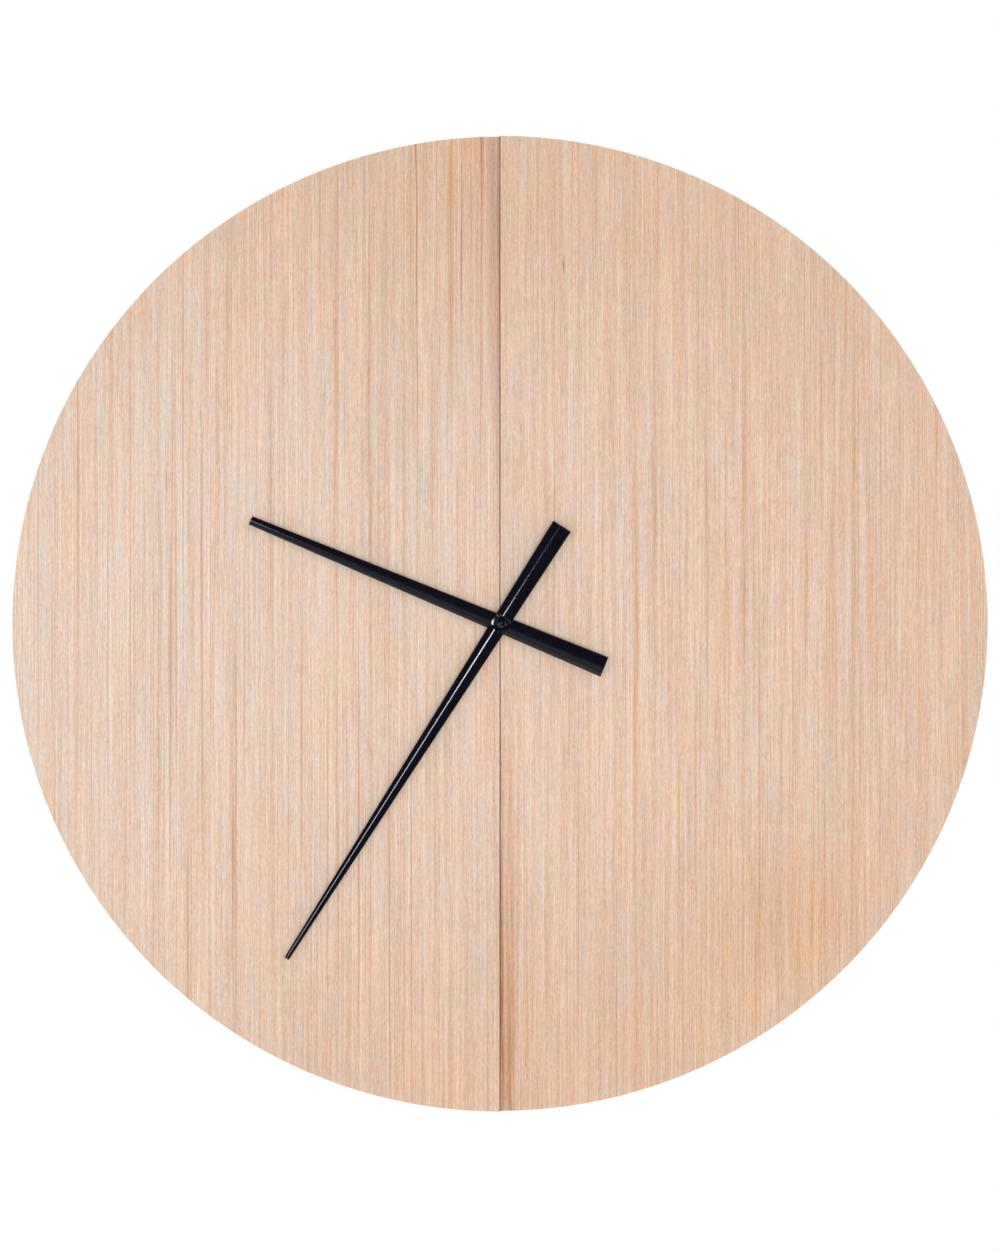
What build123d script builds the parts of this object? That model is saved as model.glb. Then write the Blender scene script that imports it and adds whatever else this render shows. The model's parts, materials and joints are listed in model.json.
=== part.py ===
from build123d import *
from math import acos, cos, pi, radians, sin, tan
import os

# Wall clock: a veneered disc split down the middle, with its two halves leaning opposite ways,
# a back frame of two rails and tapered packers, and a quartz movement with two hands.
#
# It is modelled lying on its back: x to the right, y towards twelve o'clock, z out of the wall
# towards the room, with z = 0 on the wall and the hands turning about the z axis. stand_up()
# turns it to hang: +X right, +Z up, +Y into the wall, and puts the origin on the wall at the
# centre of the hanger's entry hole.

# Disc
disc_diameter = 600.0
twist = 1.3  # degrees that each half leans about the horizontal centre line
seam_gap = 0.02  # the two halves butt together
seam_arris = 0.35  # eased edge of each face veneer along the seam
core_thickness = 9.0
veneer_thickness = 0.8
band_thickness = 0.8

# Back frame
wall_gap = 1.5  # the wall pads and the hanger plate are both this thick
rail_length = 340.0
rail_width = 40.0
rail_thickness = 10.0
rail_chamfer = 1.0
rail_spacing = 220.0  # between the centre lines of the two rails
packer_length = 130.0
packer_inset = 20.0  # from the seam to a packer's inner end
packer_thickness = 8.0  # on the horizontal centre line, if a packer reached it
rail_screw_diameter = 3.5
rail_screw_head = 7.0
screw_bite = 6.0  # how far a rail screw runs into the panel
screw_margin = 20.0  # from a packer's end to its screw
screw_clearance = 0.05
recess_arm = 0.55  # cross slot in a screw's head, in shares of the head's width
recess_slot = 0.14
recess_depth = 0.16
pad_diameter = 16.0
pad_inset = 14.0  # from a rail's end to its pad's centre

# Hanger plate
plate_width = 46.0
plate_height = 20.0
plate_corner = 2.0
entry_diameter = 10.0
slot_width = 5.0
slot_rise = 9.0  # from the entry hole's centre up to the slot's end centre
entry_drop = 3.5  # from the plate's centre down to the entry hole's centre
plate_screw_spacing = 34.0
plate_screw_diameter = 3.0
plate_screw_head = 5.6
plate_screw_length = 9.0
pocket_depth = 6.0
pocket_margin = 1.5  # between the keyhole and the wall of the pocket behind it

# Hands: formed sheet channels, pressed low across a round eye
sheet = 0.4
crown_ratio = 0.22  # height of the half-round crown over the local width
eye_diameter = 12.4
eye_crown = 0.4  # height of the crown that the press leaves across the eye
press_ramp = 1.2  # length over which the crown runs down to the eye
spot_margin = 0.2  # flat seat cut round the cap nut, past its edge
press_margin = 0.1  # from the seat's edge to where the crown begins to rise
hour_tip = 166.0
hour_tail = 69.5
hour_tip_width = 5.6
hour_tail_width = 13.1
hour_bearing = 292.5  # degrees clockwise from twelve
hour_lift = 4.6  # underside of the hour hand above the centre of the dial
minute_tip = 244.0
minute_tail = 71.0
minute_tip_width = 3.0
minute_tail_width = 13.0
minute_bearing = 212.5
hand_gap = 1.1  # between the hour hand's crown and the minute hand's underside

# Movement case and fixing
case_size = 56.0
case_depth = 16.0
case_corner = 3.0
case_edge = 0.8  # rounding of the case's front edge
case_wall = 1.2
cover_thickness = 1.2
cover_lip_height = 1.5
cover_lip_thickness = 1.0
lip_clearance = 0.1
movement_gap = 1.0  # between the case and the panels behind the dial
bush_diameter = 8.0
bush_flange_diameter = 10.0
bush_flange_thickness = 0.6
bush_clearance = 0.25
thread_proud = 0.5  # bush standing past the fixing nut
rubber_diameter = 18.0
washer_diameter = 12.4
washer_thickness = 0.5
nut_across_flats = 10.5
nut_thickness = 2.0

# Battery
battery_diameter = 14.5
battery_length = 50.5  # with its button
button_diameter = 5.2
button_height = 1.4
bay_clearance = 0.1
contact_thickness = 0.4
contact_width = 9.0
strip_width = 3.0  # of the strips that lead from the contacts to the board
tab_thickness = 0.3

# Hand shafts
running_clearance = 0.07
hour_tube_radius = 2.5
hour_tube_proud = 0.6  # hour tube past the hour hand's eye
minute_shaft_radius = 1.75
minute_thread_radius = 1.2
cap_radius = 3.1
cap_rim_height = 1.0
cap_dome_height = 1.7
collet_wall = 1.1
collet_length = 1.2
spigot_wall = 0.5  # of the collet's neck in the hour hand's eye

# Gear teeth
pressure_angle = 25.0
addendum = 0.8  # in modules
dedendum = 1.05
backlash = 0.16
train_module = 0.18
fourth_module = 0.20
cannon_module = 0.25
centre_teeth = 64
third_pinion_teeth = 8
third_teeth = 60
fourth_pinion_teeth = 8
fourth_teeth = 50
intermediate_pinion_teeth = 10
intermediate_teeth = 48
rotor_pinion_teeth = 8
cannon_teeth = 12
minute_wheel_teeth = 36
motion_pinion_teeth = 10
hour_wheel_teeth = 40
setting_teeth = 12

# The cannon pair and the motion pair turn on the same two centres.
motion_module = (
    cannon_module
    * (cannon_teeth + minute_wheel_teeth)
    / (motion_pinion_teeth + hour_wheel_teeth)
)

# Directions from one arbor to the next, in degrees anticlockwise from the x axis
third_direction = 160.0
fourth_direction = 150.0
intermediate_direction = 100.0
rotor_direction = 40.0
minute_wheel_direction = 45.0
setting_direction = 30.0

# Depths behind the case's front face at which each wheel starts, and thicknesses
hour_wheel_level = 1.6
cannon_level = 3.2
centre_level = 4.9
third_level = 6.4
fourth_level = 7.9
intermediate_level = 9.3
bridge_level = 10.6
motion_face = 1.2
wheel_face = 0.8
intermediate_face = 0.6
bridge_thickness = 0.8
pinion_overhang = 0.2  # a pinion reaches this far past its wheel on both sides
arbor_radius = 0.4
pivot_radius = 0.25
pivot_depth = 0.6
end_shake = 0.2
centre_rear_radius = 0.5
centre_hub_radius = 1.0
post_radius = 0.5
post_end = 4.6
setting_shaft_radius = 1.0
setting_pivot_radius = 0.6
setting_hole_clearance = 0.3
knob_radius = 5.0
knob_thickness = 1.6
knob_gap = 0.3
knob_flutes = 18
flute_radius = 0.45

# Motor
magnet_radius = 2.6
magnet_level = 4.7
magnet_thickness = 2.6
stator_bore = 3.1
stator_ring = 3.6
stator_level = 5.6
stator_thickness = 0.8
stator_bar_width = 4.4
stator_leg_width = 4.0
stator_left = -20.0  # centre of the left leg
stator_right = 8.0
coil_gap = 0.9  # between the coil's flanges and the ring round the rotor
coil_radius = 3.4
coil_flange_radius = 3.7
coil_tube_radius = 2.2
coil_flange_thickness = 0.8
core_width = 3.0
bobbin_clearance = 0.1
leg_clearance = 0.5  # between the bobbin's flanges and the stator's legs

# Bridge and board
bridge_left = -23.0
bridge_right = 16.0
bridge_bottom = -10.0
bridge_top = 17.0
bridge_corner = 2.0
pillar_radius = 1.5
stake_radius = 0.8
pillar_places = [(-20.5, -7.0), (-20.8, 8.0), (13.2, -7.0), (13.5, 13.5)]
board_left = 16.8
board_bottom = -8.5
board_top = 14.0
board_level = 7.0
board_thickness = 0.8
board_post_radius = 1.2
board_posts = [(19.0, -6.0), (23.5, 11.5)]
chip_radius = 2.2
chip_height = 1.0
chip_line = 0.0
crystal_radius = 1.0
crystal_length = 6.0

# Heights that follow
disc_radius = disc_diameter / 2
panel_thickness = core_thickness + 2 * veneer_thickness
rail_front = wall_gap + rail_thickness
back_depth = rail_front + packer_thickness
face_depth = back_depth + panel_thickness / cos(radians(twist))
case_front = back_depth - movement_gap
case_rear = case_front - case_depth
case_inside = case_front - case_wall
cover_inside = case_rear + cover_thickness
rail_line = rail_spacing / 2
entry_line = rail_line - entry_drop
bush_radius = bush_diameter / 2
washer_seat = face_depth + washer_diameter / 2 * tan(radians(twist))
nut_seat = washer_seat + washer_thickness
bush_top = nut_seat + nut_thickness + thread_proud
hour_base = face_depth + hour_lift
hour_crown = sheet + crown_ratio * hour_tail_width
minute_base = hour_base + hour_crown + hand_gap
hour_tube_top = hour_base + sheet + hour_tube_proud
shaft_shoulder = minute_base
thread_top = minute_base + sheet + cap_rim_height
collet_radius = hour_tube_radius + collet_wall
spigot_radius = hour_tube_radius + spigot_wall
press_radius = cap_radius + spot_margin + press_margin
half_case = case_size / 2
inner_half = half_case - case_wall
board_right = inner_half - contact_thickness
battery_radius = battery_diameter / 2
battery_line = -inner_half + bay_clearance + battery_radius
divider_bottom = battery_line + battery_radius + bay_clearance
divider_top = divider_bottom + case_wall


def cylinder(radius, low, high, place=(0.0, 0.0)):
    return Pos(place[0], place[1], (low + high) / 2) * Cylinder(radius, high - low)


def block(x_range, y_range, z_range):
    spans = [sorted(pair) for pair in (x_range, y_range, z_range)]
    middle = [(low + high) / 2 for low, high in spans]
    size = [high - low for low, high in spans]
    return Pos(*middle) * Box(*size)


def behind(level):
    # Height over the wall of a point this far behind the front face of the movement.
    return case_front - level


def step_to(place, distance, direction):
    angle = radians(direction)
    return (place[0] + distance * cos(angle), place[1] + distance * sin(angle))


# ---- Dial panels ----


def half_disc(radius, inner_edge):
    # Outline of the right-hand half, from its straight edge out to the rim.
    side = Pos(inner_edge + radius, 0) * Rectangle(2 * radius, 4 * radius)
    return Circle(radius) & side


def sheet_layer(outline, upper, lower):
    # A layer between two depths behind the panel's front face.
    return Pos(0, 0, -lower) * extrude(outline, lower - upper)


def lean(shape, side):
    # side is +1 for the right half, whose top leans out, and -1 for the left half.
    turned = shape if side > 0 else mirror(shape, Plane.YZ)
    return Pos(0, 0, face_depth) * Rot(side * twist, 0, 0) * turned


def panel_back(side, height):
    # Height over the wall of a half's back face at this height above the hand axis.
    return back_depth + side * height * tan(radians(twist))


def arris_cut(edge):
    # Triangular strip taken off a face veneer's edge along the seam.
    corner = Polygon((edge, 0), (edge + seam_arris, 0), (edge, -seam_arris), align=None)
    return extrude(Plane.XZ * corner, 2 * disc_radius, both=True)


def make_panel(side):
    edge = seam_gap / 2
    core_top = veneer_thickness
    core_bottom = veneer_thickness + core_thickness
    whole = half_disc(disc_radius, edge)
    banded = half_disc(disc_radius, edge + band_thickness)
    inner = half_disc(disc_radius - band_thickness, edge + band_thickness)
    layers = {
        "face_veneer": sheet_layer(whole, 0, core_top) - arris_cut(edge),
        "panel_core": sheet_layer(inner, core_top, core_bottom),
        "rim_band": sheet_layer(banded - inner, core_top, core_bottom),
        "seam_band": sheet_layer(whole - banded, core_top, core_bottom),
        "back_veneer": sheet_layer(whole, core_bottom, panel_thickness),
    }
    bush_hole = cylinder(bush_radius + bush_clearance, 0, bush_top)
    pieces = {name: lean(shape, side) - bush_hole for name, shape in layers.items()}
    for name in ("panel_core", "back_veneer"):
        for hole in side_holes(side):
            pieces[name] = pieces[name] - hole
    return pieces


# ---- Screws ----


def wood_screw(diameter, head, length, swell=0.0):
    # Countersunk screw with its head's flat at z = 0 and its point towards +z.
    radius = diameter / 2 + swell
    head_radius = head / 2 + swell
    head_height = head_radius - radius
    tip = diameter
    shank = length - tip
    body = Pos(0, 0, head_height / 2) * Cone(head_radius, radius, head_height)
    body += cylinder(radius, head_height / 2, shank)
    body += Pos(0, 0, shank + tip / 2 + swell / 2) * Cone(radius, radius / 3, tip + swell)
    return body


def cross_recess(head):
    # Cross slot sunk into a screw's head.
    arm = (-head * recess_arm / 2, head * recess_arm / 2)
    slot = (-head * recess_slot / 2, head * recess_slot / 2)
    depth = (-head * recess_depth, head * recess_depth)
    return block(arm, slot, depth) + block(slot, arm, depth)


def rail_screw_length(side, height):
    return panel_back(side, height) - wall_gap + screw_bite


def rail_screw_places(side):
    # The two screws through each packer of one half, at both rails.
    ends = (packer_inset + screw_margin, packer_inset + packer_length - screw_margin)
    return [(side * x, height) for height in (rail_line, -rail_line) for x in ends]


def side_holes(side):
    holes = []
    for x, height in rail_screw_places(side):
        length = rail_screw_length(side, height)
        hole = wood_screw(rail_screw_diameter, rail_screw_head, length, screw_clearance)
        holes.append(Pos(x, height, wall_gap) * hole)
    return holes


def make_rail_screws():
    # Short screws where the packers are thin, long screws where they are thick.
    groups = {"short_rail_screws": [], "long_rail_screws": []}
    for side in (-1, 1):
        for x, height in rail_screw_places(side):
            length = rail_screw_length(side, height)
            screw = wood_screw(rail_screw_diameter, rail_screw_head, length)
            screw -= cross_recess(rail_screw_head)
            name = "long_rail_screws" if side * height > 0 else "short_rail_screws"
            groups[name].append(Pos(x, height, wall_gap) * screw)
    return {name: Compound(screws) for name, screws in groups.items()}


# ---- Back frame ----


def plate_screw_places():
    return [(x, rail_line) for x in (-plate_screw_spacing / 2, plate_screw_spacing / 2)]


def plate_screw_holes():
    hole = wood_screw(
        plate_screw_diameter, plate_screw_head, plate_screw_length, screw_clearance
    )
    return [Pos(x, y, 0) * hole for x, y in plate_screw_places()]


def make_rail(height):
    low = height - rail_width / 2
    high = height + rail_width / 2
    rail = block((-rail_length / 2, rail_length / 2), (low, high), (wall_gap, rail_front))
    rail = chamfer(rail.faces().sort_by(Axis.Z)[0].edges(), rail_chamfer)
    for side in (-1, 1):
        for hole in side_holes(side):
            rail -= hole
    if height > 0:
        half_pocket = entry_diameter / 2 + pocket_margin
        pocket_low = entry_line - half_pocket
        pocket_high = entry_line + slot_rise + half_pocket
        rail -= block(
            (-half_pocket, half_pocket),
            (pocket_low, pocket_high),
            (wall_gap, wall_gap + pocket_depth),
        )
        for hole in plate_screw_holes():
            rail -= hole
    return rail


def make_packer(side, height):
    low = height - rail_width / 2
    high = height + rail_width / 2
    outline = Polygon(
        (low, rail_front),
        (high, rail_front),
        (high, panel_back(side, high)),
        (low, panel_back(side, low)),
        align=None,
    )
    start = packer_inset if side > 0 else -packer_inset - packer_length
    packer = Pos(start, 0, 0) * extrude(Plane.YZ * outline, packer_length)
    for hole in side_holes(side):
        packer -= hole
    return packer


def make_hanger_plate():
    plate = block(
        (-plate_width / 2, plate_width / 2),
        (rail_line - plate_height / 2, rail_line + plate_height / 2),
        (0, wall_gap),
    )
    plate = fillet(plate.edges().filter_by(Axis.Z), plate_corner)
    plate -= cylinder(entry_diameter / 2, 0, wall_gap, (0, entry_line))
    plate -= cylinder(slot_width / 2, 0, wall_gap, (0, entry_line + slot_rise))
    plate -= block(
        (-slot_width / 2, slot_width / 2),
        (entry_line, entry_line + slot_rise),
        (0, wall_gap),
    )
    for hole in plate_screw_holes():
        plate -= hole
    return plate


def make_hanger_screws():
    screw = wood_screw(plate_screw_diameter, plate_screw_head, plate_screw_length)
    screw -= cross_recess(plate_screw_head)
    return Compound([Pos(x, y, 0) * screw for x, y in plate_screw_places()])


def make_pad(side, height):
    place = (side * (rail_length / 2 - pad_inset), height)
    return cylinder(pad_diameter / 2, 0, wall_gap, place)


# ---- Hands ----


def hand_section(width, crown, skirt, y, low):
    # Cross-section of a channel: two short upright edges joined by an arc.
    half = width / 2
    left = Line((-half, low), (-half, skirt))
    over = ThreePointArc((-half, skirt), (0, skirt + crown), (half, skirt))
    right = Line((half, skirt), (half, low))
    foot = Line((half, low), (-half, low))
    plane = Plane(origin=(0, y, 0), x_dir=(1, 0, 0), z_dir=(0, -1, 0))
    return plane * make_face([left, over, right, foot])


def make_hand(tip, tail, tip_width, tail_width, hole_radius):
    def width_at(y):
        return tail_width + (tip_width - tail_width) * (y + tail) / (tip + tail)

    def outer(y, flat=False):
        crown = eye_crown if flat else crown_ratio * width_at(y)
        return hand_section(width_at(y), crown, sheet, y, 0)

    def inner(y):
        crown = crown_ratio * width_at(y) - sheet
        return hand_section(width_at(y) - 2 * sheet, crown, sheet, y, -sheet)

    eye = eye_diameter / 2
    shoulder = press_radius + press_ramp
    stations = [(-tail, False), (-shoulder, False), (-press_radius, True)]
    stations += [(press_radius, True), (shoulder, False), (tip, False)]
    body = loft([outer(y, flat) for y, flat in stations], ruled=True)
    body -= loft([inner(-tail), inner(-shoulder)], ruled=True)
    body -= loft([inner(shoulder), inner(tip)], ruled=True)
    body += cylinder(eye, 0, sheet)
    body -= cylinder(cap_radius + spot_margin, sheet, 2 * sheet + eye_crown)
    return body - cylinder(hole_radius, -sheet, 2 * sheet)


def make_hour_hand():
    hand = make_hand(hour_tip, hour_tail, hour_tip_width, hour_tail_width, spigot_radius)
    return Pos(0, 0, hour_base) * Rot(0, 0, -hour_bearing) * hand


def make_minute_hand():
    hand = make_hand(
        minute_tip, minute_tail, minute_tip_width, minute_tail_width, minute_thread_radius
    )
    return Pos(0, 0, minute_base) * Rot(0, 0, -minute_bearing) * hand


def make_hour_collet():
    collet = cylinder(collet_radius, hour_base - collet_length, hour_base)
    collet += cylinder(spigot_radius, hour_base, hour_base + sheet)
    return collet - cylinder(hour_tube_radius, hour_base - collet_length, hour_base + sheet)


def make_cap_nut():
    seat = minute_base + sheet
    rim = seat + cap_rim_height
    nut = cylinder(cap_radius, seat, rim)
    sphere_radius = (cap_radius**2 + cap_dome_height**2) / (2 * cap_dome_height)
    dome = Pos(0, 0, rim + cap_dome_height - sphere_radius) * Sphere(sphere_radius)
    nut += dome & cylinder(cap_radius, rim, rim + cap_dome_height)
    return nut - cylinder(minute_thread_radius, seat, thread_top)


# ---- Gears ----


def involute(angle):
    return tan(angle) - angle


def tooth_half_angle(teeth, module, radius):
    # Half the angle that one tooth takes up at this radius.
    pitch_radius = teeth * module / 2
    base_radius = pitch_radius * cos(radians(pressure_angle))
    half = pi / 2 / teeth - backlash * module / 2 / pitch_radius
    flank = acos(base_radius / max(radius, base_radius))
    return half + involute(radians(pressure_angle)) - involute(flank)


def gear_outline(teeth, module, phase):
    pitch_radius = teeth * module / 2
    root = pitch_radius - dedendum * module
    tip = pitch_radius + addendum * module
    rising = [(root, -1), (pitch_radius, -1), (tip, -1)]
    falling = [(tip, 1), (pitch_radius, 1), (root, 1)]
    points = []
    for number in range(teeth):
        middle = phase + 2 * pi * number / teeth
        for radius, flank in rising + falling:
            angle = middle + flank * tooth_half_angle(teeth, module, radius)
            points.append((radius * cos(angle), radius * sin(angle)))
    return make_face(Polyline(*points, close=True))


def gear(teeth, module, phase, level, face, place):
    outline = gear_outline(teeth, module, phase)
    return Pos(place[0], place[1], behind(level + face)) * extrude(outline, face)


def pinion(teeth, module, phase, level, face, place):
    low = level - pinion_overhang
    return gear(teeth, module, phase, low, face + 2 * pinion_overhang, place)


def meeting_phase(teeth, phase, direction, partner_teeth):
    # Phase that puts the partner's gaps on this gear's teeth, in the direction of the partner.
    angle = radians(direction)
    share = (angle - phase) * teeth / (2 * pi)
    return angle + pi + (share + 0.5) * 2 * pi / partner_teeth


def distance_between(teeth, partner_teeth, module):
    return (teeth + partner_teeth) * module / 2


centre = (0.0, 0.0)
third_place = step_to(
    centre, distance_between(centre_teeth, third_pinion_teeth, train_module), third_direction
)
fourth_place = step_to(
    third_place,
    distance_between(third_teeth, fourth_pinion_teeth, train_module),
    fourth_direction,
)
intermediate_place = step_to(
    fourth_place,
    distance_between(fourth_teeth, intermediate_pinion_teeth, fourth_module),
    intermediate_direction,
)
rotor_place = step_to(
    intermediate_place,
    distance_between(intermediate_teeth, rotor_pinion_teeth, train_module),
    rotor_direction,
)
minute_wheel_place = step_to(
    centre,
    distance_between(cannon_teeth, minute_wheel_teeth, cannon_module),
    minute_wheel_direction,
)
setting_place = step_to(
    minute_wheel_place,
    distance_between(minute_wheel_teeth, setting_teeth, cannon_module),
    setting_direction,
)
coil_line = rotor_place[1] + stator_ring + coil_gap + coil_flange_radius


def arbor(place):
    # A plain arbor with a thinner pivot at each end, from the case to behind the bridge.
    front_end = case_wall - pivot_depth
    front_body = case_wall + end_shake
    rear_body = bridge_level - end_shake
    rear_end = bridge_level + bridge_thickness
    body = cylinder(arbor_radius, behind(rear_body), behind(front_body), place)
    return body + cylinder(pivot_radius, behind(rear_end), behind(front_end), place)


def make_third_wheel():
    pinion_phase = meeting_phase(centre_teeth, 0.0, third_direction, third_pinion_teeth)
    wheel = arbor(third_place)
    wheel += pinion(
        third_pinion_teeth, train_module, pinion_phase, centre_level, wheel_face, third_place
    )
    wheel += gear(third_teeth, train_module, 0.0, third_level, wheel_face, third_place)
    return wheel


def make_fourth_wheel():
    pinion_phase = meeting_phase(third_teeth, 0.0, fourth_direction, fourth_pinion_teeth)
    wheel = arbor(fourth_place)
    wheel += pinion(
        fourth_pinion_teeth, train_module, pinion_phase, third_level, wheel_face, fourth_place
    )
    wheel += gear(fourth_teeth, fourth_module, 0.0, fourth_level, wheel_face, fourth_place)
    return wheel


def make_intermediate_wheel():
    pinion_phase = meeting_phase(
        fourth_teeth, 0.0, intermediate_direction, intermediate_pinion_teeth
    )
    wheel = arbor(intermediate_place)
    wheel += pinion(
        intermediate_pinion_teeth,
        fourth_module,
        pinion_phase,
        fourth_level,
        wheel_face,
        intermediate_place,
    )
    wheel += gear(
        intermediate_teeth,
        train_module,
        0.0,
        intermediate_level,
        intermediate_face,
        intermediate_place,
    )
    return wheel


def make_rotor_pinion():
    pinion_phase = meeting_phase(intermediate_teeth, 0.0, rotor_direction, rotor_pinion_teeth)
    return arbor(rotor_place) + pinion(
        rotor_pinion_teeth,
        train_module,
        pinion_phase,
        intermediate_level,
        intermediate_face,
        rotor_place,
    )


def make_rotor_magnet():
    low = behind(magnet_level + magnet_thickness)
    high = behind(magnet_level)
    ring = cylinder(magnet_radius, low, high, rotor_place)
    return ring - cylinder(arbor_radius, low, high, rotor_place)


def make_centre_wheel():
    wheel = gear(centre_teeth, train_module, 0.0, centre_level, wheel_face, centre)
    low = behind(centre_level + wheel_face)
    return wheel - cylinder(centre_hub_radius, low, behind(centre_level))


def make_minute_arbor():
    # Cannon pinion, shaft to the minute hand, seat of the centre wheel and rear pivot.
    cannon_start = cannon_level - pinion_overhang
    cannon_end = cannon_level + motion_face + pinion_overhang
    wheel_end = centre_level + wheel_face
    shaft = cylinder(minute_shaft_radius, behind(cannon_start), shaft_shoulder)
    shaft += pinion(cannon_teeth, cannon_module, 0.0, cannon_level, motion_face, centre)
    shaft += cylinder(centre_hub_radius, behind(wheel_end), behind(cannon_end))
    shaft += cylinder(
        centre_rear_radius, behind(bridge_level + bridge_thickness), behind(wheel_end)
    )
    return shaft + cylinder(minute_thread_radius, shaft_shoulder, thread_top)


def minute_wheel_phase():
    return meeting_phase(cannon_teeth, 0.0, minute_wheel_direction, minute_wheel_teeth)


def make_minute_wheel():
    # Turns on the case's post: its wheel meets the cannon pinion, its pinion the hour wheel.
    wheel = gear(
        minute_wheel_teeth,
        cannon_module,
        minute_wheel_phase(),
        cannon_level,
        motion_face,
        minute_wheel_place,
    )
    leaf_start = hour_wheel_level - pinion_overhang
    wheel += gear(
        motion_pinion_teeth,
        motion_module,
        0.0,
        leaf_start,
        cannon_level - leaf_start,
        minute_wheel_place,
    )
    return wheel - cylinder(
        post_radius + running_clearance,
        behind(cannon_level + motion_face),
        behind(leaf_start),
        minute_wheel_place,
    )


def make_hour_wheel():
    back_direction = minute_wheel_direction + 180.0
    phase = meeting_phase(motion_pinion_teeth, 0.0, back_direction, hour_wheel_teeth)
    wheel = gear(hour_wheel_teeth, motion_module, phase, hour_wheel_level, motion_face, centre)
    low = behind(hour_wheel_level + motion_face)
    wheel += cylinder(hour_tube_radius, low, hour_tube_top)
    return wheel - cylinder(minute_shaft_radius + running_clearance, low, hour_tube_top)


def make_setting_pinion():
    phase = meeting_phase(
        minute_wheel_teeth, minute_wheel_phase(), setting_direction, setting_teeth
    )
    shaft = pinion(
        setting_teeth, cannon_module, phase, cannon_level, motion_face, setting_place
    )
    knob_top = case_rear - knob_gap
    shaft += cylinder(
        setting_shaft_radius,
        knob_top - knob_thickness / 2,
        behind(case_wall + end_shake),
        setting_place,
    )
    return shaft + cylinder(
        setting_pivot_radius,
        behind(cannon_level),
        behind(case_wall - pivot_depth),
        setting_place,
    )


def make_setting_knob():
    high = case_rear - knob_gap
    low = high - knob_thickness
    knob = cylinder(knob_radius, low, high, setting_place)
    for number in range(knob_flutes):
        place = step_to(setting_place, knob_radius, 360.0 * number / knob_flutes)
        knob -= cylinder(flute_radius, low, high, place)
    return knob - cylinder(setting_shaft_radius, high - knob_thickness / 2, high, setting_place)


# ---- Movement case ----


def rounded_square(size, corner):
    return RectangleRounded(size, size, corner)


def make_front_case():
    # Square tray with a divider between the train and the battery bay.
    outline = rounded_square(case_size, case_corner)
    case = Pos(0, 0, cover_inside) * extrude(outline, case_front - cover_inside)
    case = fillet(case.faces().sort_by(Axis.Z)[-1].edges(), case_edge)
    hollow = rounded_square(2 * inner_half, case_corner - case_wall)
    case -= Pos(0, 0, cover_inside) * extrude(hollow, case_inside - cover_inside)
    divider = block(
        (-inner_half, inner_half), (divider_bottom, divider_top), (cover_inside, case_inside)
    )
    case += divider
    bridge_front = behind(bridge_level)
    for place in pillar_places:
        case += cylinder(pillar_radius, bridge_front, case_inside, place)
        case += cylinder(stake_radius, bridge_front - bridge_thickness, bridge_front, place)
    for place in board_posts:
        case += cylinder(board_post_radius, behind(board_level), case_inside, place)
    case += cylinder(post_radius, behind(post_end), case_inside, minute_wheel_place)
    pivot_floor = behind(case_wall - pivot_depth)
    for place in (third_place, fourth_place, intermediate_place, rotor_place):
        case -= cylinder(pivot_radius + running_clearance, case_inside, pivot_floor, place)
    case -= cylinder(
        setting_pivot_radius + running_clearance, case_inside, pivot_floor, setting_place
    )
    case -= cylinder(bush_radius, case_inside, case_front)
    case -= cylinder(
        bush_flange_diameter / 2, case_inside, case_inside + bush_flange_thickness
    )
    for slot in contact_slots():
        case -= slot
    return case


def make_rear_cover():
    # Closes the train side and leaves the battery bay open.
    outline = rounded_square(case_size, case_corner)
    kept = block(
        (-half_case, half_case), (divider_bottom, half_case), (case_rear, cover_inside)
    )
    cover = (Pos(0, 0, case_rear) * extrude(outline, cover_thickness)) & kept
    reach = inner_half - lip_clearance
    bottom = divider_top + lip_clearance
    lip_top = cover_inside + cover_lip_height
    lip = block((-reach, reach), (bottom, reach), (cover_inside, lip_top))
    inner_reach = reach - cover_lip_thickness
    lip -= block(
        (-inner_reach, inner_reach),
        (bottom + cover_lip_thickness, inner_reach),
        (cover_inside, lip_top),
    )
    rounded = extrude(rounded_square(2 * reach, case_corner - case_wall), cover_lip_height)
    lip = lip & (Pos(0, 0, cover_inside) * rounded)
    cover += lip
    shaft_hole = setting_shaft_radius + setting_hole_clearance
    return cover - cylinder(shaft_hole, case_rear, cover_inside, setting_place)


def make_threaded_bush():
    flange_top = case_inside + bush_flange_thickness
    bush = cylinder(bush_flange_diameter / 2, case_inside, flange_top)
    bush += cylinder(bush_radius, case_inside, bush_top)
    return bush - cylinder(hour_tube_radius + running_clearance, case_inside, bush_top)


def make_rubber_washer():
    # As thick as the gap at its rim, where the leaning panels come closest.
    thickness = movement_gap - rubber_diameter / 2 * tan(radians(twist))
    top = case_front + thickness
    ring = cylinder(rubber_diameter / 2, case_front, top)
    return ring - cylinder(bush_radius, case_front, top)


def make_fixing_washer():
    ring = cylinder(washer_diameter / 2, washer_seat, nut_seat)
    return ring - cylinder(bush_radius, washer_seat, nut_seat)


def make_fixing_nut():
    hexagon = RegularPolygon(nut_across_flats / 2, 6, major_radius=False)
    nut = Pos(0, 0, nut_seat) * extrude(hexagon, nut_thickness)
    return nut - cylinder(bush_radius, nut_seat, nut_seat + nut_thickness)


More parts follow.
